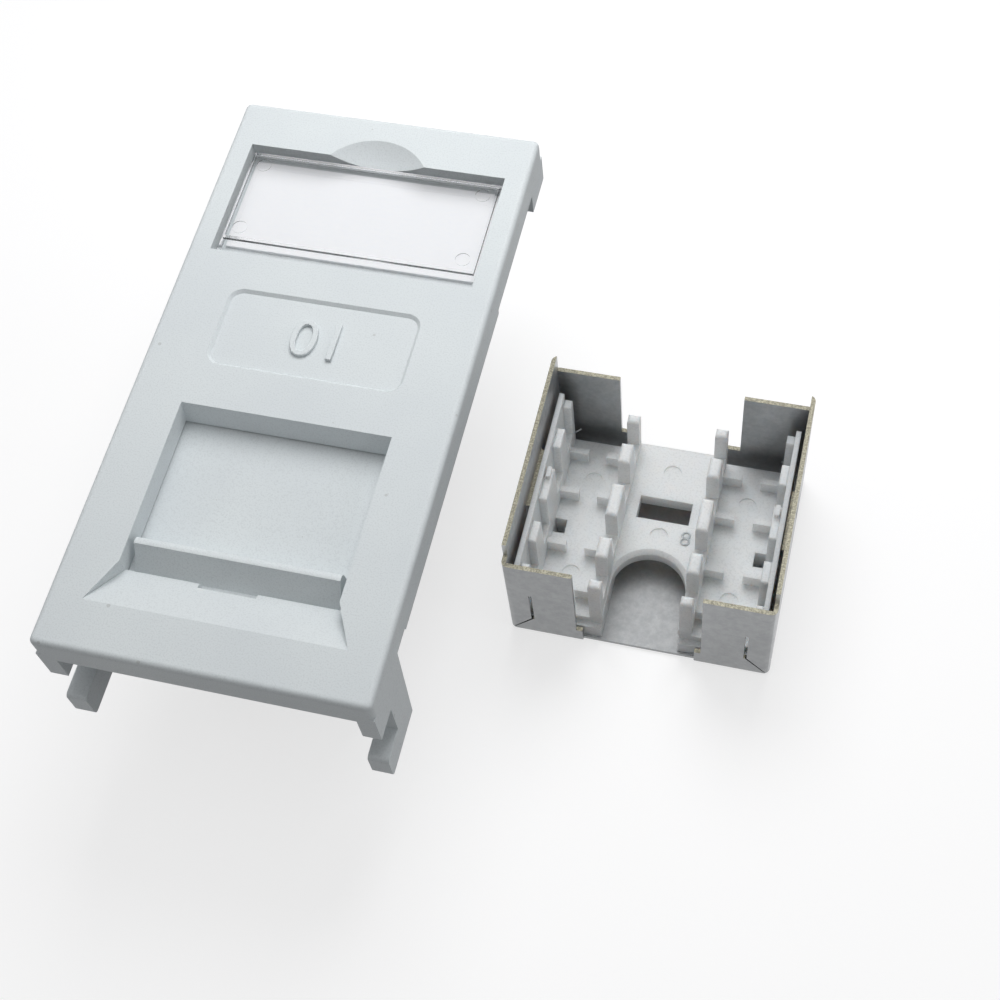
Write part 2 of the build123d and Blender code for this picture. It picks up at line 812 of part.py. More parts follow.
# Wire organiser: deck with a cable arch, slotted walls, and a ribbed channel each side
organiser_base = Plane((cap_x, cap_y - organiser_set, table + cap_sheet))
organiser_front = -organiser_length / 2
arch_centre = organiser_front + arch_apex - arch_radius
comb_wall = outer_wall - outer_skin
with BuildPart() as wire_organiser:
    with BuildSketch(organiser_base):
        Rectangle(2 * channel_outer, organiser_length)
    extrude(amount=floor_height - cap_sheet)
    with BuildSketch(organiser_base):
        Rectangle(2 * channel_inner, organiser_length)
    extrude(amount=deck_height - cap_sheet)
    with BuildSketch(organiser_base):
        Rectangle(2 * deck_half_width, organiser_length)
    extrude(amount=deck_height - deck_plate - cap_sheet, mode=Mode.SUBTRACT)
    with BuildSketch(organiser_base):
        for side in (-1, 1):
            with Locations((side * (deck_half_width + channel_outer) / 2, organiser_front - ledge_length / 2)):
                Rectangle(channel_outer - deck_half_width, ledge_length)
    extrude(amount=ledge_height - cap_sheet)

    # Cable arch with its bevelled rim
    with BuildSketch(organiser_base):
        with Locations((0, arch_centre)):
            Circle(arch_radius)
        with Locations((0, (arch_centre + organiser_front) / 2)):
            Rectangle(2 * arch_radius, arch_centre - organiser_front)
    extrude(amount=deck_height, mode=Mode.SUBTRACT)
    deck_rims = wire_organiser.faces().sort_by(Axis.Z)[-1].edges()
    near_rims = deck_rims.filter_by(lambda rim: abs(rim.center().X - cap_x) < arch_radius + arch_bevel / 2)
    chamfer(near_rims.filter_by(lambda rim: rim.center().Y < cap_y), arch_bevel)

    # Slotted walls: the inner pair, then the lower part of the taller outer pair
    walls = (
        (deck_half_width + inner_wall / 2, inner_wall, tooth_height, tooth_round),
        (channel_outer + comb_wall / 2, comb_wall, outer_tooth_height, comb_round),
    )
    for middle, thickness, height, radius in walls:
        with BuildSketch(organiser_base):
            with Locations((-middle, 0), (middle, 0)):
                Rectangle(thickness, organiser_length)
        extrude(amount=height - cap_sheet)
        with BuildSketch(organiser_base.offset(height - cap_sheet)):
            for centre in wire_centres:
                with Locations((-middle, centre), (middle, centre)):
                    Rectangle(thickness, wire_slot)
        extrude(amount=slot_floor_height - height, mode=Mode.SUBTRACT)
        fillet(wire_organiser.faces().group_by(Axis.Z)[-1].edges(), radius)

    # Thin outer skin, and the catches that hook over the earthing tongues
    with BuildSketch(organiser_base):
        for side in (-1, 1):
            with Locations((side * (organiser_half_width - outer_skin / 2), 0)):
                Rectangle(outer_skin, organiser_length)
    extrude(amount=skin_height - cap_sheet)
    with BuildSketch(organiser_base.offset(outer_tooth_height - comb_round - cap_sheet)):
        for side in (-1, 1):
            with Locations((side * (channel_outer + comb_wall / 2), (middle_tooth - catch_length) / 2 - comb_round)):
                Rectangle(comb_wall - 2 * comb_round, catch_length)
    extrude(amount=comb_round + catch_height)

    # Low ribs under each wire slot, reaching in from both walls
    with BuildSketch(organiser_base):
        for centre in wire_centres:
            for side in (-1, 1):
                with Locations((side * (channel_inner + rib_reach / 2), centre)):
                    Rectangle(rib_reach, rib_length)
                with Locations((side * (channel_outer - rib_reach / 2), centre)):
                    Rectangle(rib_reach, rib_length)
    extrude(amount=rib_height - cap_sheet)

    # Deck window, square holes and ejector marks
    with BuildSketch(organiser_base):
        with Locations((0, window_centre)):
            Rectangle(window_width, window_length)
        for side in (-1, 1):
            with Locations((side * (channel_outer - hole_width / 2), hole_centre)):
                Rectangle(hole_width, hole_length)
    extrude(amount=deck_height, mode=Mode.SUBTRACT)
    with BuildSketch(organiser_base.offset(deck_height - cap_sheet)):
        with Locations(*[(0, centre) for centre in deck_marks]):
            Circle(mark_radius)
    extrude(amount=-mark_depth, mode=Mode.SUBTRACT)
    with BuildSketch(organiser_base.offset(floor_height - cap_sheet)):
        with GridLocations(channel_inner + channel_outer, 2 * channel_mark, 2, 2):
            Circle(mark_radius)
    extrude(amount=-mark_depth, mode=Mode.SUBTRACT)

wire_organiser.part.label = "wire_organiser"
export_step(wire_organiser.part, "parts/wire_organiser.step")
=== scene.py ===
"""Dresses a 25 x 50 mm data outlet module and the screening cap that lies beside it."""

import logging
import math
from dataclasses import dataclass
from enum import Enum

import bpy
from mathutils import Matrix, Vector


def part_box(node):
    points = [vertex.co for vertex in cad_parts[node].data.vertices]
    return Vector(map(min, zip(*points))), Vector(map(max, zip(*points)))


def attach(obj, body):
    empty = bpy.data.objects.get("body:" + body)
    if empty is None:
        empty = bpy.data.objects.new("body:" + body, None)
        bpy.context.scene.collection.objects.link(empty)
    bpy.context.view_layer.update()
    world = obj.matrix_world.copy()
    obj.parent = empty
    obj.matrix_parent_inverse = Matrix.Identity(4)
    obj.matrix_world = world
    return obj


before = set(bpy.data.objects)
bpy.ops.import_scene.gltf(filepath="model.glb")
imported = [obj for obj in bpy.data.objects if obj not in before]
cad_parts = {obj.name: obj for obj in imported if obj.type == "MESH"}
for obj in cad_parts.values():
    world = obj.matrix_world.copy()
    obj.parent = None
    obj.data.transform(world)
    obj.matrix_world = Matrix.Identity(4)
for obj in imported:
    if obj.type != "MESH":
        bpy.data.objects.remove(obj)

LOG = logging.getLogger("outlet")
MM = 0.001
SHOWN_TO = ("Camera", "Glossy", "Transmission")
SWING = (0.3, 0.7)  # most of a noise's values lie in this range
SQUARE = 0.7  # a face looks along an axis where its normal has more than this share of it
ANY = 0.5  # a count that is over this is at least one
OUT_OF_REACH = 1.0  # a metre, past every piece
SCREEN_WHITE = 255
TOE_END, TOE_SLOPE = 0.04045, 12.92
CURVE_SHIFT, CURVE_POWER = 0.055, 2.4
Colour = tuple[float, float, float]
Point = tuple[float, float, float]
WHITE: Colour = (1.0, 1.0, 1.0)


def linear(red: int, green: int, blue: int) -> Colour:
    """Turn a screen colour into the linear colour that a shader takes.

    Args:
        red: Red, from 0 to 255.
        green: Green, from 0 to 255.
        blue: Blue, from 0 to 255.

    Returns:
        The linear colour, each part from 0 to 1.
    """

    def one(level: int) -> float:
        """Turn one level of 0 to 255 into its linear share."""
        share = level / SCREEN_WHITE
        if share <= TOE_END:
            return share / TOE_SLOPE
        return ((share + CURVE_SHIFT) / (1 + CURVE_SHIFT)) ** CURVE_POWER

    return (one(red), one(green), one(blue))


def darker(colour: Colour, share: float) -> Colour:
    """Give a colour with only a share of its light."""
    return tuple(share * part for part in colour)


@dataclass(frozen=True)
class Noise:
    """A cloud of soft cells on the object.

    The scale is in cells per metre. Detail adds finer layers, and roughness is their
    strength. The stretch gives the grain a direction.
    """

    scale: float
    detail: float = 2.0
    roughness: float = 0.5
    stretch: Point = (1.0, 1.0, 1.0)


@dataclass(frozen=True)
class Ramp:
    """A range of values, and the range that it is mapped onto."""

    low: float
    high: float
    to_low: float = 0.0
    to_high: float = 1.0


class Value:
    """A shader socket that is worked with as a number.

    Args:
        sheet: The node sheet that the socket belongs to.
        socket: The output socket that carries the value.
    """

    def __init__(self, sheet: "Sheet", socket: bpy.types.NodeSocket) -> None:
        self.sheet = sheet
        self.socket = socket

    def _maths(self, operation: str, first: object, second: object) -> "Value":
        """Add one Math node and return what it gives."""
        return self.sheet.node("ShaderNodeMath", {"operation": operation}, {0: first, 1: second})

    def __add__(self, other: object) -> "Value":
        return self._maths("ADD", self, other)

    __radd__ = __add__

    def __sub__(self, other: object) -> "Value":
        return self._maths("SUBTRACT", self, other)

    def __rsub__(self, other: object) -> "Value":
        return self._maths("SUBTRACT", other, self)

    def __mul__(self, other: object) -> "Value":
        return self._maths("MULTIPLY", self, other)

    __rmul__ = __mul__

    def __abs__(self) -> "Value":
        return self._maths("ABSOLUTE", self, 0.0)

    def __mod__(self, step: float) -> "Value":
        return self._maths("FLOORED_MODULO", self, step)

    def under(self, limit: float) -> "Value":
        """Give 1 where the value is under a limit, and 0 elsewhere."""
        return self._maths("LESS_THAN", self, limit)

    def over(self, limit: float) -> "Value":
        """Give 1 where the value is over a limit, and 0 elsewhere."""
        return self._maths("GREATER_THAN", self, limit)

    def either(self, other: "Value") -> "Value":
        """Give the larger of two values."""
        return self._maths("MAXIMUM", self, other)


class Sheet:
    """The node sheet of one material, or of the world.

    Args:
        name: The material's or the world's name.
        world: Whether the sheet is the world's.
    """

    def __init__(self, name: str, world: bool = False) -> None:
        self.material = (bpy.data.worlds if world else bpy.data.materials).new(name)
        self.material.use_nodes = True
        self.tree = self.material.node_tree
        self.tree.nodes.clear()
        kind = "ShaderNodeOutputWorld" if world else "ShaderNodeOutputMaterial"
        self.output = self.tree.nodes.new(kind)

    def put(self, socket: bpy.types.NodeSocket, value: object) -> None:
        """Link a value to a socket, or set the socket to a constant.

        Args:
            socket: The input socket.
            value: A Value, a colour, a vector or a number.
        """
        if isinstance(value, Value):
            self.tree.links.new(value.socket, socket)
        elif socket.type == "RGBA":
            socket.default_value = (*value, 1.0)
        else:
            socket.default_value = value

    def node(
        self,
        kind: str,
        settings: dict[str, object] | None = None,
        sockets: dict[int | str, object] | None = None,
        out: int | str = 0,
    ) -> Value:
        """Add a node.

        Args:
            kind: The node's type.
            settings: Properties that are set first.
            sockets: Values or links for its inputs, by name or place.
            out: The output that is handed back.

        Returns:
            The chosen output as a value.
        """
        made = self.tree.nodes.new(kind)
        for name, setting in (settings or {}).items():
            setattr(made, name, setting)
        for name, value in (sockets or {}).items():
            self.put(made.inputs[name], value)
        return Value(self, made.outputs[out])

    def place(self, stretch: Point = (1.0, 1.0, 1.0)) -> Value:
        """Give the point on the object, in metres, stretched along each axis."""
        point = self.node("ShaderNodeTexCoord", out="Object")
        return self.node("ShaderNodeMapping", None, {"Vector": point, "Scale": stretch})

    def part(self, vector: Value, letter: str) -> Value:
        """Give one part of a vector, X, Y or Z."""
        return self.node("ShaderNodeSeparateXYZ", None, {"Vector": vector}, out=letter)

    def axis(self, letter: str) -> Value:
        """Give one coordinate of the point on the object, in metres."""
        return self.part(self.place(), letter)

    def facing(self, letter: str) -> Value:
        """Give how far the surface looks along one axis, from -1 to 1."""
        return self.part(self.node("ShaderNodeTexCoord", out="Normal"), letter)

    def noise(self, noise: Noise) -> Value:
        """Give a noise's value at each point, from 0 to 1."""
        sockets = {
            "Vector": self.place(noise.stretch),
            "Scale": noise.scale,
            "Detail": noise.detail,
            "Roughness": noise.roughness,
        }
        return self.node("ShaderNodeTexNoise", {"noise_dimensions": "3D"}, sockets)

    def specks(self, scale: float, size: float) -> Value:
        """Give 1 inside sparse round specks, and 0 elsewhere.

        Args:
            scale: Cells per metre.
            size: Radius of a speck as a share of a cell.

        Returns:
            The mask.
        """
        sockets = {"Vector": self.place(), "Scale": scale}
        return self.node("ShaderNodeTexVoronoi", None, sockets, out="Distance").under(size)

    def spread(self, value: Value, ramp: Ramp) -> Value:
        """Map a value from one range onto another, and hold it at the ends."""
        sockets = {
            "Value": value,
            "From Min": ramp.low,
            "From Max": ramp.high,
            "To Min": ramp.to_low,
            "To Max": ramp.to_high,
        }
        return self.node("ShaderNodeMapRange", {"clamp": True}, sockets)

    def mix(self, share: object, first: object, second: object) -> Value:
        """Mix two colours by a share from 0 to 1."""
        sockets = {0: share, 6: first, 7: second}
        return self.node("ShaderNodeMix", {"data_type": "RGBA"}, sockets, out=2)

    def blend(self, share: Value, first: Value, second: Value) -> Value:
        """Mix two shaders by a share from 0 to 1."""
        return self.node("ShaderNodeMixShader", None, {0: share, 1: first, 2: second})

    def bump(self, height: Value, depth: float) -> Value:
        """Turn a height of 0 to 1 into a bumped normal, depth metres deep."""
        return self.node("ShaderNodeBump", None, {"Height": height, "Distance": depth})

    def seen(self) -> Value:
        """Give 1 where a ray comes from the eye, straight or by mirroring or clear plastic."""
        kinds = [self.node("ShaderNodeLightPath", out=f"Is {kind} Ray") for kind in SHOWN_TO]
        scattered = self.node("ShaderNodeLightPath", out="Diffuse Depth").over(ANY)
        return kinds[0].either(kinds[1]).either(kinds[2]) * (1 - scattered)

    def finish(self, shader: Value) -> None:
        """Link the last shader to the sheet's output."""
        self.tree.links.new(shader.socket, self.output.inputs["Surface"])

    def surface(self, sockets: dict[str, object]) -> bpy.types.Material:
        """Add the surface shader with its sockets, and hand back the finished material."""
        self.finish(self.node("ShaderNodeBsdfPrincipled", None, sockets))
        return self.material


@dataclass(frozen=True)
class Moulding:
    """Moulded plastic with a fine matt grain and a few dark specks."""

    name: str
    colour: Colour
    shade: Colour
    roughness: float
    cloud: Noise = Noise(90.0, 3.0)
    cloud_tone: Ramp = Ramp(0.35, 0.65)
    grain: Noise = Noise(8200.0, 2.0, 0.6)
    grain_depth: float = 0.007 * MM
    pit_tone: Ramp = Ramp(0.36, 0.5, 0.45, 0.0)
    pit_light: float = 0.84
    pit_rougher: float = 0.06
    peak_smoother: float = 0.04
    speck_share: float = 0.0
    speck_scale: float = 520.0
    speck_patches: Noise = Noise(700.0)
    speck_patch_from: float = 0.55
    speck_strength: float = 0.3
    speck_colour: Colour = linear(140, 138, 132)
    refraction: float = 1.49
    glow: float = 0.0
    glow_depth: float = 1.2 * MM
    glow_reach: Point = (1.0, 0.86, 0.78)

    def make(self) -> bpy.types.Material:
        """Build the material."""
        sheet = Sheet(self.name)
        cloud = sheet.noise(self.cloud)
        grain = sheet.noise(self.grain)
        base = sheet.mix(sheet.spread(cloud, self.cloud_tone), self.colour, self.shade)
        pits = sheet.spread(grain, self.pit_tone)
        base = sheet.mix(pits, base, darker(self.shade, self.pit_light))
        if self.speck_share > 0:
            patches = sheet.noise(self.speck_patches).over(self.speck_patch_from)
            specks = sheet.specks(self.speck_scale, self.speck_share) * patches
            base = sheet.mix(specks * self.speck_strength, base, self.speck_colour)
        pitted, proud = self.roughness + self.pit_rougher, self.roughness - self.peak_smoother
        return sheet.surface(
            {
                "Base Color": base,
                "Roughness": sheet.spread(grain, Ramp(*SWING, pitted, proud)),
                "Normal": sheet.bump(grain, self.grain_depth),
                "IOR": self.refraction,
                "Subsurface Weight": self.glow,
                "Subsurface Radius": self.glow_reach,
                "Subsurface Scale": self.glow_depth,
            }
        )


@dataclass(frozen=True)
class Tinplate:
    """Tinned sheet with a mottled skin, a faint rolling grain and bright cut edges.

    The cut edges are the faces that look up, over a given height. The outer faces at
    the front, before a given line across, are darkened with painted shade, a stand-in
    for the dimmer reflection that they show.
    """

    name: str
    colour: Colour
    shade: Colour
    mottle: Noise = Noise(1500.0, 4.0, 0.7)
    mottle_tone: Ramp = Ramp(0.38, 0.62)
    rolling: Noise = Noise(260.0, 3.0, 0.6, (1.0, 14.0, 14.0))
    rolling_tone: Ramp = Ramp(0.4, 0.7, 0.0, 0.3)
    stain: Noise = Noise(170.0)
    stain_tone: Ramp = Ramp(0.5, 0.75, 0.0, 0.3)
    stain_light: float = 0.8
    roughness: float = 0.36
    smoother: float = 0.03
    rougher: float = 0.05
    # Painted shade: outer faces at the front, before this line across, are darkened to stand in for
    # a dimmer reflection.
    painted_shade_before: float = -OUT_OF_REACH
    painted_shade_strength: float = 0.5
    painted_shade_light: float = 0.4
    cut_from: float = OUT_OF_REACH
    cut_colour: Colour = linear(206, 202, 182)
    cut_rougher: float = 0.2
    burr: Noise = Noise(6500.0, 2.0, 0.7)
    burr_tone: Ramp = Ramp(0.4, 0.65)
    burr_colour: Colour = linear(152, 149, 136)
    relief: float = 0.006 * MM
    mottle_relief: float = 0.6
    rolling_relief: float = 0.4

    def make(self) -> bpy.types.Material:
        """Build the material."""
        sheet = Sheet(self.name)
        mottle = sheet.noise(self.mottle)
        rolling = sheet.noise(self.rolling)
        smooth, rough = self.roughness - self.smoother, self.roughness + self.rougher
        cut = sheet.facing("Z").over(SQUARE) * sheet.axis("Z").over(self.cut_from)
        skin = self._skin(sheet, mottle, rolling)
        shine = sheet.spread(mottle, Ramp(*SWING, smooth, rough))
        relief = mottle * self.mottle_relief + rolling * self.rolling_relief
        return sheet.surface(
            {
                "Base Color": sheet.mix(cut, skin, self._edge(sheet)),
                "Metallic": 1.0,
                "Roughness": cut * self.cut_rougher + shine,
                "Normal": sheet.bump(relief, self.relief),
            }
        )

    def _skin(self, sheet: Sheet, mottle: Value, rolling: Value) -> Value:
        """Give the colour of the tinned skin.

        Args:
            sheet: The material's node sheet.
            mottle: The tin's mottle, from 0 to 1.
            rolling: The grain of the rolled sheet, from 0 to 1.

        Returns:
            The colour.
        """
        base = sheet.mix(sheet.spread(mottle, self.mottle_tone), self.colour, self.shade)
        base = sheet.mix(sheet.spread(rolling, self.rolling_tone), base, self.shade)
        stain = sheet.spread(sheet.noise(self.stain), self.stain_tone)
        base = sheet.mix(stain, base, darker(self.shade, self.stain_light))
        # Painted shade: the outer front faces are darkened, a stand-in for the dimmer reflection
        # that they show.
        painted_shade = sheet.facing("Y").under(-SQUARE) * sheet.axis("Y").under(self.painted_shade_before)
        return sheet.mix(painted_shade * self.painted_shade_strength, base, darker(self.shade, self.painted_shade_light))

    def _edge(self, sheet: Sheet) -> Value:
        """Give the colour of a cut edge with its burrs."""
        burr = sheet.spread(sheet.noise(self.burr), self.burr_tone)
        return sheet.mix(burr, self.burr_colour, self.cut_colour)


@dataclass(frozen=True)
class SpringStrip:
    """Thin plated strip or wire."""

    name: str
    colour: Colour
    shade: Colour
    mottle: Noise = Noise(2500.0, 3.0, 0.6)
    mottle_tone: Ramp = Ramp(0.35, 0.65)
    shine: Ramp = Ramp(*SWING, 0.17, 0.3)
    relief: float = 0.003 * MM

    def make(self) -> bpy.types.Material:
        """Build the material."""
        sheet = Sheet(self.name)
        mottle = sheet.noise(self.mottle)
        tone = sheet.spread(mottle, self.mottle_tone)
        return sheet.surface(
            {
                "Base Color": sheet.mix(tone, self.colour, self.shade),
                "Metallic": 1.0,
                "Roughness": sheet.spread(mottle, self.shine),
                "Normal": sheet.bump(mottle, self.relief),
            }
        )


@dataclass(frozen=True)
class ClearMoulding:
    """Clear plastic with slight flow marks."""

    name: str
    tint: Colour
    flow: Noise = Noise(260.0)
    relief: float = 0.006 * MM
    scuffs: Noise = Noise(1800.0, 3.0, 0.7, (1.0, 5.0, 1.0))
    shine: Ramp = Ramp(0.55, 0.75, 0.06, 0.16)
    refraction: float = 1.49

    def make(self) -> bpy.types.Material:
        """Build the material."""
        sheet = Sheet(self.name)
        return sheet.surface(
            {
                "Base Color": self.tint,
                "Roughness": sheet.spread(sheet.noise(self.scuffs), self.shine),
                "Normal": sheet.bump(sheet.noise(self.flow), self.relief),
                "IOR": self.refraction,
                "Transmission Weight": 1.0,
            }
        )


@dataclass(frozen=True)
class Card:
    """Plain label card with a faint fibre."""

    name: str
    colour: Colour
    shade: Colour
    fibre: Noise = Noise(1400.0, 4.0, 0.7, (1.0, 2.5, 1.0))
    fibre_tone: Ramp = Ramp(*SWING)
    shine: Ramp = Ramp(*SWING, 0.8, 0.9)
    relief: float = 0.01 * MM

    def make(self) -> bpy.types.Material:
        """Build the material."""
        sheet = Sheet(self.name)
        fibre = sheet.noise(self.fibre)
        tone = sheet.spread(fibre, self.fibre_tone)
        return sheet.surface(
            {
                "Base Color": sheet.mix(tone, self.colour, self.shade),
                "Roughness": sheet.spread(fibre, self.shine),
                "Normal": sheet.bump(fibre, self.relief),
            }
        )


@dataclass(frozen=True)
class Laminate:
    """Green circuit board with tracks under its lacquer and a paler cut edge.

    Top and bottom are the heights of its two faces. The tracks run from front to back
    on both, at a pitch across the board.
    """

    name: str
    lacquer: Colour
    track: Colour
    edge: Colour
    top: float
    bottom: float
    track_pitch: float
    track_start: float = -50 * MM
    track_width: float = 0.22 * MM
    track_strength: float = 0.75
    track_relief: float = 0.03 * MM
    weave: Noise = Noise(5200.0)
    weave_tone: Ramp = Ramp(*SWING, 0.0, 0.35)
    weave_light: float = 0.7
    skin: float = 0.04 * MM
    shine: Ramp = Ramp(*SWING, 0.3, 0.42)
    refraction: float = 1.5

    def make(self) -> bpy.types.Material:
        """Build the material."""
        sheet = Sheet(self.name)
        across = (sheet.axis("X") - self.track_start) % self.track_pitch
        tracks = abs(across - self.track_pitch / 2).under(self.track_width / 2)
        weave = sheet.noise(self.weave)
        base = sheet.mix(tracks * self.track_strength, self.lacquer, self.track)
        woven = sheet.spread(weave, self.weave_tone)
        base = sheet.mix(woven, base, darker(self.lacquer, self.weave_light))
        height = sheet.axis("Y")
        skin = height.over(self.top - self.skin).either(height.under(self.bottom + self.skin))
        return sheet.surface(
            {
                "Base Color": sheet.mix(skin, self.edge, base),
                "Roughness": sheet.spread(weave, self.shine),
                "Normal": sheet.bump(tracks, self.track_relief),
                "IOR": self.refraction,
            }
        )


class Finish(Enum):
    """The finishes that the model's own pieces take."""

    FACE = "face_plastic"
    CARD = "label_paper"
    CLEAR = "clear_plastic"
    SOCKET = "socket_plastic"
    INSERT = "insert_plastic"
    SPRING = "spring_metal"
    BOARD = "board_laminate"
    WHITE = "white_plastic"
    TIN = "tinned_sheet"
    CAP_TIN = "cap_tinned_sheet"


class Palette:
    """Makes each finish once and hands it out."""

    track_pitch: float = 2.04 * MM
    cut_over_floor: float = 1.2 * MM
    # How far behind the cap's front the painted shade on its outer front faces reaches.
    painted_shade_from_front: float = 0.4 * MM

    def __init__(self) -> None:
        makers = {**self._plastics(), **self._metals(), Finish.BOARD: self._board()}
        makers[Finish.CARD] = Card("label_paper", linear(253, 254, 255), linear(250, 252, 255))
        self._made = {finish: makers[finish].make() for finish in Finish}

    def _plastics(self) -> dict[Finish, Moulding | ClearMoulding]:
        """Give the plastics of the face, its cover, the socket and the white mouldings."""
        return {
            Finish.FACE: Moulding(
                "face_plastic",
                linear(219, 225, 227),
                linear(214, 220, 223),
                0.52,
                speck_share=0.07,
            ),
            Finish.CLEAR: ClearMoulding("clear_plastic", linear(254, 254, 255)),
            Finish.SOCKET: Moulding(
                "socket_plastic", linear(44, 44, 47), linear(38, 38, 41), 0.45
            ),
            Finish.INSERT: Moulding(
                "insert_plastic", linear(62, 64, 70), linear(54, 56, 62), 0.45
            ),
            Finish.WHITE: Moulding(
                "white_plastic",
                linear(236, 238, 238),
                linear(231, 233, 234),
                0.42,
                grain=Noise(6000.0, 2.0, 0.6),
                grain_depth=0.004 * MM,
                glow=0.8,
            ),
        }

    def _metals(self) -> dict[Finish, SpringStrip | Tinplate]:
        """Give the metals of the contacts, the socket's shield and the cap."""
        cap_front, cap_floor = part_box("cap_shield")[0].yz
        return {
            Finish.SPRING: SpringStrip(
                "spring_metal", linear(226, 194, 124), linear(206, 172, 104)
            ),
            Finish.TIN: Tinplate("tinned_sheet", linear(160, 163, 165), linear(146, 149, 152)),
            Finish.CAP_TIN: Tinplate(
                "cap_tinned_sheet",
                linear(188, 190, 191),
                linear(174, 176, 178),
                cut_from=cap_floor + self.cut_over_floor,
                # Painted shade on the cap's outer front faces, standing in for a dimmer reflection.
                painted_shade_before=cap_front + self.painted_shade_from_front,
            ),
        }

    def _board(self) -> Laminate:
        """Give the circuit board's laminate, with a track at every second contact."""
        low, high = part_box("circuit_board")
        return Laminate(
            "board_laminate",
            linear(38, 104, 62),
            linear(74, 142, 88),
            linear(176, 170, 118),
            top=high.y,
            bottom=low.y,
            track_pitch=self.track_pitch,
        )

    def get(self, finish: Finish) -> bpy.types.Material:
        """Hand out a finish."""
        return self._made[finish]

    def dress(self, node: str, finish: Finish) -> None:
        """Give one of the model's own pieces its finish."""
        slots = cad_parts[node].data.materials
        slots.clear()
        slots.append(self.get(finish))
        LOG.info("%s takes %s", node, finish.value)


def into_scene(name: str, data: bpy.types.ID) -> bpy.types.Object:
    """Make an object of some data and put it in the scene."""
    thing = bpy.data.objects.new(name, data)
    bpy.context.scene.collection.objects.link(thing)
    return thing


def plain_mesh(holder: bpy.types.Object) -> bpy.types.Mesh:
    """Turn what an object shows, with its modifiers, into a plain mesh."""
    shown = holder.evaluated_get(bpy.context.evaluated_depsgraph_get())
    return bpy.data.meshes.new_from_object(shown)


def new_piece(
    name: str, mesh: bpy.types.Mesh, material: bpy.types.Material
) -> bpy.types.Object:
    """Make a piece of the module from a finished mesh.

    Args:
        name: The piece's name.
        mesh: Its mesh, in place in the part's frame.
        material: Its finish.

    Returns:
        The piece, which rides on the module.
    """
    piece = into_scene(name, mesh)
    mesh.materials.clear()
    mesh.materials.append(material)
    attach(piece, "module")
    LOG.info("made %s, %d faces", name, len(mesh.polygons))
    return piece


@dataclass(frozen=True)
class RaisedDigits:
    """Digits that stand up from a moulded face, as one closed mesh."""

    text: str
    height: float
    stand: float
    bevel: float
    bevel_steps: int = 2
    curve_steps: int = 5

    def make(self, foot: Point) -> bpy.types.Mesh:
        """Make the digits' mesh.

        Args:
            foot: Where the middle of their foot goes, in metres.

        Returns:
            The mesh, in place.
        """
        curve = bpy.data.curves.new("digits", "FONT")
        curve.body = self.text
        curve.size = 1.0
        curve.align_x = "CENTER"
        curve.align_y = "CENTER"
        holder = into_scene("digits", curve)
        bpy.context.view_layer.update()
        scale = self.height / holder.dimensions.y
        curve.extrude = (self.stand / 2 - self.bevel) / scale
        curve.bevel_depth = self.bevel / scale
        curve.bevel_resolution = self.bevel_steps
        curve.offset = -self.bevel / scale
        curve.resolution_u = self.curve_steps
        bpy.context.view_layer.update()
        mesh = plain_mesh(holder)
        bpy.data.objects.remove(holder)
        across = [vertex.co.x for vertex in mesh.vertices]
        upward = [vertex.co.y for vertex in mesh.vertices]
        middle = Vector((max(across) + min(across), max(upward) + min(upward), 0)) / 2
        mesh.transform(Matrix.Translation(-middle))
        place = Matrix.Translation(Vector(foot) + Vector((0, 0, self.stand / 2)))
        mesh.transform(place @ Matrix.Scale(scale, 4))
        return mesh


@dataclass
class FaceModule:
    """The front with its label, its shutter and the plate between them."""

    plate_middle: float = 3.05 * MM
    plate_floor: float = -0.25 * MM
    port_number: RaisedDigits = RaisedDigits("01", 3.3 * MM, 0.3 * MM, 0.06 * MM)

    def build(self, palette: Palette) -> None:
        """Dress the front's own pieces and add the port number."""
        for node in ("front_frame", "shutter"):
            palette.dress(node, Finish.FACE)
        palette.dress("label_card", Finish.CARD)
        palette.dress("label_cover", Finish.CLEAR)
        # Light reaches the card through the clear cover as if nothing lay over it.
        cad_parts["label_cover"].visible_shadow = False
        digits = self.port_number.make((0, self.plate_middle, self.plate_floor))
        new_piece("port_number", digits, palette.get(Finish.FACE))


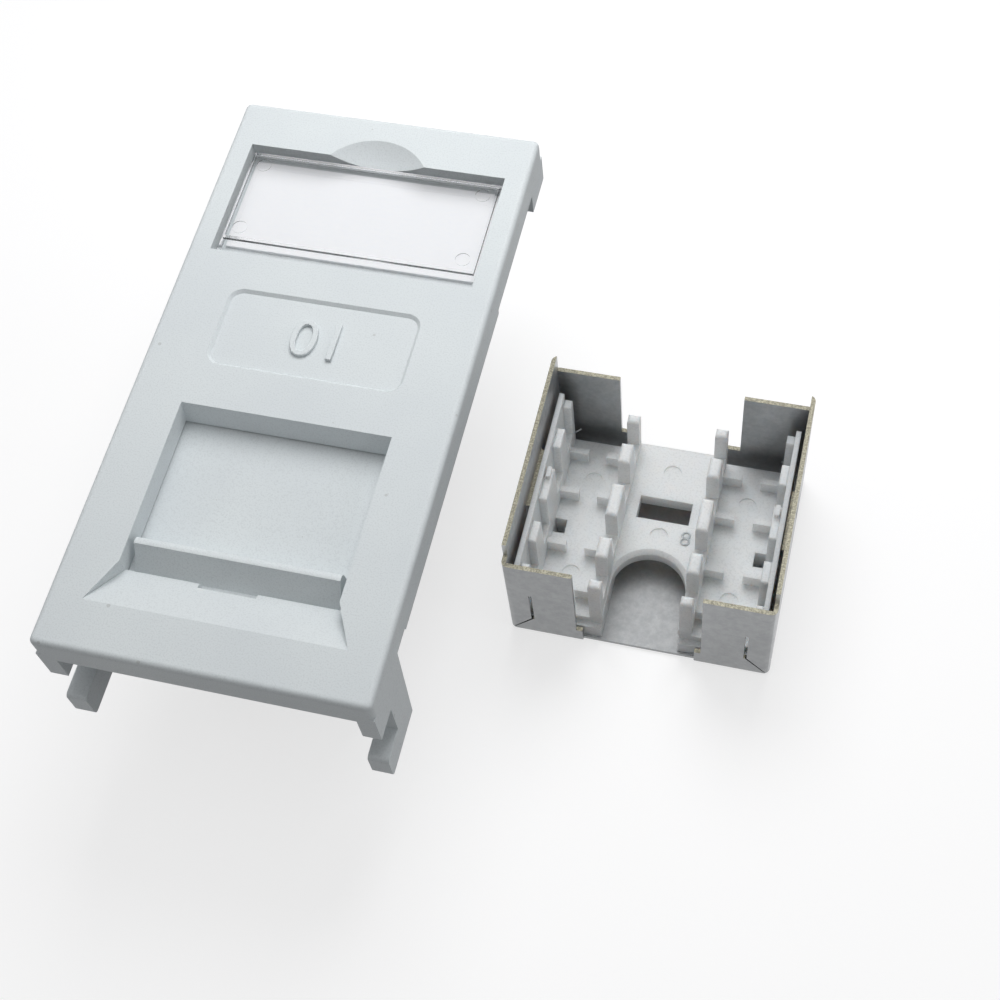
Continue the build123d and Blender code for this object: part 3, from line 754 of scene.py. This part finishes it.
@dataclass
class SocketUnit:
    """The socket, its contacts, its board and the terminal blocks behind the front."""

    contacts: int = 8
    half_strip: float = 0.15 * MM
    joint_radius: float = 0.62 * MM
    joint_height: float = 0.45 * MM
    joint_sides: int = 14
    joint_rings: int = 3
    joint_top_share: float = 0.35

    def build(self, palette: Palette) -> None:
        """Dress the socket's own pieces and solder its pins."""
        palette.dress("socket_housing", Finish.SOCKET)
        palette.dress("socket_shield", Finish.TIN)
        palette.dress("contact_carrier", Finish.INSERT)
        palette.dress("circuit_board", Finish.BOARD)
        for number in range(1, self.contacts + 1):
            palette.dress(f"contact_{number}", Finish.SPRING)
            palette.dress(f"idc_clip_{number}", Finish.TIN)
        for side in ("left", "right"):
            palette.dress(f"idc_block_{side}", Finish.WHITE)
        self._solder(palette)

    def _pins(self) -> list[Point]:
        """Give the points where the contact tails come out of the board."""
        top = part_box("circuit_board")[1].y
        pins = []
        for number in range(1, self.contacts + 1):
            low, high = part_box(f"contact_{number}")
            pins.append(((low.x + high.x) / 2, top, low.z + self.half_strip))
        return pins

    def _solder(self, palette: Palette) -> None:
        """Put a solder joint round each pin with Geometry Nodes, and bake them to one mesh."""
        mesh = bpy.data.meshes.new("pins")
        mesh.from_pydata(self._pins(), [], [])
        holder = into_scene("pins", mesh)
        tree = self._joint_tree(palette.get(Finish.TIN))
        modifier = holder.modifiers.new("joints", "NODES")
        modifier.node_group = tree
        sizes = {"Radius": self.joint_radius, "Height": self.joint_height}
        for item in tree.interface.items_tree:
            if item.item_type == "SOCKET" and item.in_out == "INPUT" and item.name in sizes:
                modifier[item.identifier] = sizes[item.name]
        bpy.context.view_layer.update()
        baked = plain_mesh(holder)
        holder.modifiers.remove(modifier)
        bpy.data.objects.remove(holder)
        new_piece("solder_joints", baked, palette.get(Finish.TIN))

    def _joint_tree(self, material: bpy.types.Material) -> bpy.types.NodeTree:
        """Build the node tree that sets a small cone of solder on each point.

        Args:
            material: The finish of the solder.

        Returns:
            The tree, with inputs Radius and Height.
        """
        tree = bpy.data.node_groups.new("solder joints", "GeometryNodeTree")
        add_socket = tree.interface.new_socket
        add_socket("Geometry", in_out="INPUT", socket_type="NodeSocketGeometry")
        for size in ("Radius", "Height"):
            add_socket(size, in_out="INPUT", socket_type="NodeSocketFloat")
        add_socket("Geometry", in_out="OUTPUT", socket_type="NodeSocketGeometry")
        nodes, link = tree.nodes, tree.links.new
        given = nodes.new("NodeGroupInput")
        result = nodes.new("NodeGroupOutput")
        cone = nodes.new("GeometryNodeMeshCone")
        cone.inputs["Vertices"].default_value = self.joint_sides
        cone.inputs["Side Segments"].default_value = self.joint_rings
        narrow = nodes.new("ShaderNodeMath")
        narrow.operation = "MULTIPLY"
        narrow.inputs[1].default_value = self.joint_top_share
        spots = nodes.new("GeometryNodeInstanceOnPoints")
        spots.inputs["Rotation"].default_value = (-math.pi / 2, 0, 0)
        real = nodes.new("GeometryNodeRealizeInstances")
        smooth = nodes.new("GeometryNodeSetShadeSmooth")
        dressed = nodes.new("GeometryNodeSetMaterial")
        dressed.inputs["Material"].default_value = material
        link(given.outputs["Geometry"], spots.inputs["Points"])
        link(given.outputs["Radius"], cone.inputs["Radius Bottom"])
        link(given.outputs["Radius"], narrow.inputs[0])
        link(narrow.outputs[0], cone.inputs["Radius Top"])
        link(given.outputs["Height"], cone.inputs["Depth"])
        link(cone.outputs["Mesh"], spots.inputs["Instance"])
        link(spots.outputs["Instances"], real.inputs["Geometry"])
        link(real.outputs["Geometry"], smooth.inputs["Geometry"])
        link(smooth.outputs["Geometry"], dressed.inputs["Geometry"])
        link(dressed.outputs["Geometry"], result.inputs["Geometry"])
        return tree


@dataclass
class CapUnit:
    """The screening cap with the wire organiser in it."""

    deck_height: float = 3.7 * MM
    digit_spot: tuple[float, float] = (2.15 * MM, -0.35 * MM)
    cavity_number: RaisedDigits = RaisedDigits("8", 1.3 * MM, 0.08 * MM, 0.02 * MM)

    def build(self, palette: Palette) -> None:
        """Dress the cap's own pieces and add the mould's cavity number to the deck."""
        palette.dress("cap_shield", Finish.CAP_TIN)
        palette.dress("wire_organiser", Finish.WHITE)
        low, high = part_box("cap_shield")
        x = (low.x + high.x) / 2 + self.digit_spot[0]
        y = (low.y + high.y) / 2 + self.digit_spot[1]
        digit = self.cavity_number.make((x, y, low.z + self.deck_height))
        new_piece("cavity_number", digit, palette.get(Finish.WHITE))


@dataclass
class View:
    """The photograph's camera, in millimetres of the part's frame.

    Right, up and back are the directions of its own axes.
    """

    place: Point = (38.903, -60.946, 101.448)
    right: Point = (0.96802, 0.23671, -0.08307)
    up: Point = (-0.16808, 0.85782, 0.48568)
    back: Point = (0.18622, -0.45619, 0.87018)
    lens: float = 59.4
    sensor: float = 36.0
    nearest: float = 5.0

    def build(self) -> None:
        """Make the camera and set it as the scene's own."""
        data = bpy.data.cameras.new("camera")
        data.lens = self.lens
        data.sensor_width = self.sensor
        data.clip_start = self.nearest * MM
        camera = into_scene("camera", data)
        turn = Matrix((self.right, self.up, self.back)).transposed().to_4x4()
        camera.matrix_world = Matrix.Translation(Vector(self.place) * MM) @ turn
        bpy.context.scene.camera = camera


@dataclass
class Lamp:
    """One soft lamp that looks at the parts.

    Its place is in metres and its power in watts. It can be kept out of mirror images.
    """

    name: str
    place: Point
    size: float
    power: float
    mirrored: bool = True
    aim: Point = (12 * MM, 0.0, -10 * MM)

    def build(self) -> None:
        """Make the lamp."""
        data = bpy.data.lights.new(self.name, "AREA")
        data.shape = "DISK"
        data.size = self.size
        data.energy = self.power
        lamp = into_scene(self.name, data)
        look = (Vector(self.aim) - Vector(self.place)).to_track_quat("-Z", "Y")
        lamp.matrix_world = Matrix.Translation(self.place) @ look.to_matrix().to_4x4()
        lamp.visible_camera = False
        lamp.visible_transmission = False
        lamp.visible_glossy = self.mirrored


@dataclass
class Studio:
    """Pale floor, soft lamps and a white surround.

    The floor keeps its shadows near the parts and fades to white between near and far.
    """

    floor_half: float = 1.5
    floor_colour: Colour = linear(164, 164, 165)
    floor_shade: Colour = linear(160, 160, 161)
    floor_cloud: Noise = Noise(8.0)
    floor_roughness: float = 0.8
    floor_glow: float = 0.68
    near: float = 0.06
    far: float = 0.3
    surround: float = 0.26
    lamps: tuple[Lamp, ...] = (
        Lamp("key", (0.010, 0.070, 0.100), size=0.10, power=0.124, mirrored=False),
        Lamp("over", (-0.12, -0.02, 0.46), size=0.40, power=0.185),
        Lamp("side", (0.38, 0.0, 0.20), size=0.30, power=0.18),
    )

    def build(self) -> None:
        """Make the floor, the world and the lamps."""
        self._floor()
        self._world()
        for lamp in self.lamps:
            lamp.build()

    def _floor(self) -> None:
        """Make the floor that the parts lie on."""
        half = self.floor_half
        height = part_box("cap_shield")[0].z
        corners = [(-half, -half), (half, -half), (half, half), (-half, half)]
        mesh = bpy.data.meshes.new("floor")
        mesh.from_pydata([(x, y, height) for x, y in corners], [], [(0, 1, 2, 3)])
        floor = into_scene("floor", mesh)
        mesh.materials.append(self._floor_finish())

    def _floor_finish(self) -> bpy.types.Material:
        """Make the floor's material.

        Returns:
            A matt ground that glows to the eye, and can be looked through from below.
        """
        sheet = Sheet("floor")
        colour = sheet.mix(sheet.noise(self.floor_cloud), self.floor_colour, self.floor_shade)
        paint = {"Base Color": colour, "Roughness": self.floor_roughness}
        matt = sheet.node("ShaderNodeBsdfPrincipled", None, paint)
        glow = sheet.node("ShaderNodeEmission", None, {"Color": WHITE, "Strength": self.floor_glow})
        lit = sheet.node("ShaderNodeAddShader", None, {0: matt, 1: glow})
        white = sheet.node("ShaderNodeEmission", None, {"Color": WHITE, "Strength": 1.0})
        length = {"operation": "LENGTH"}
        away = sheet.node("ShaderNodeVectorMath", length, {0: sheet.place()}, out="Value")
        lit = sheet.blend(sheet.spread(away, Ramp(self.near, self.far)), lit, white)
        shown = sheet.blend(sheet.seen(), matt, lit)
        below = sheet.node("ShaderNodeNewGeometry", out="Backfacing")
        sheet.finish(sheet.blend(below, shown, sheet.node("ShaderNodeBsdfTransparent")))
        return sheet.material

    def _world(self) -> None:
        """Show white to the camera and in reflections, and light the parts gently."""
        sheet = Sheet("surround", world=True)
        soft, full = (
            sheet.node("ShaderNodeBackground", None, {"Color": WHITE, "Strength": strength})
            for strength in (self.surround, 1.0)
        )
        sheet.finish(sheet.blend(sheet.seen(), soft, full))
        bpy.context.scene.world = sheet.material


def main() -> None:
    """Build the scene's parts in order and report each one."""
    logging.basicConfig(level=logging.INFO, format="%(name)s: %(message)s")
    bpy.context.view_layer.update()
    bpy.context.scene.view_settings.view_transform = "Standard"
    View().build()
    Studio().build()
    palette = Palette()
    FaceModule().build(palette)
    SocketUnit().build(palette)
    CapUnit().build(palette)


if __name__ == "__main__":
    main()
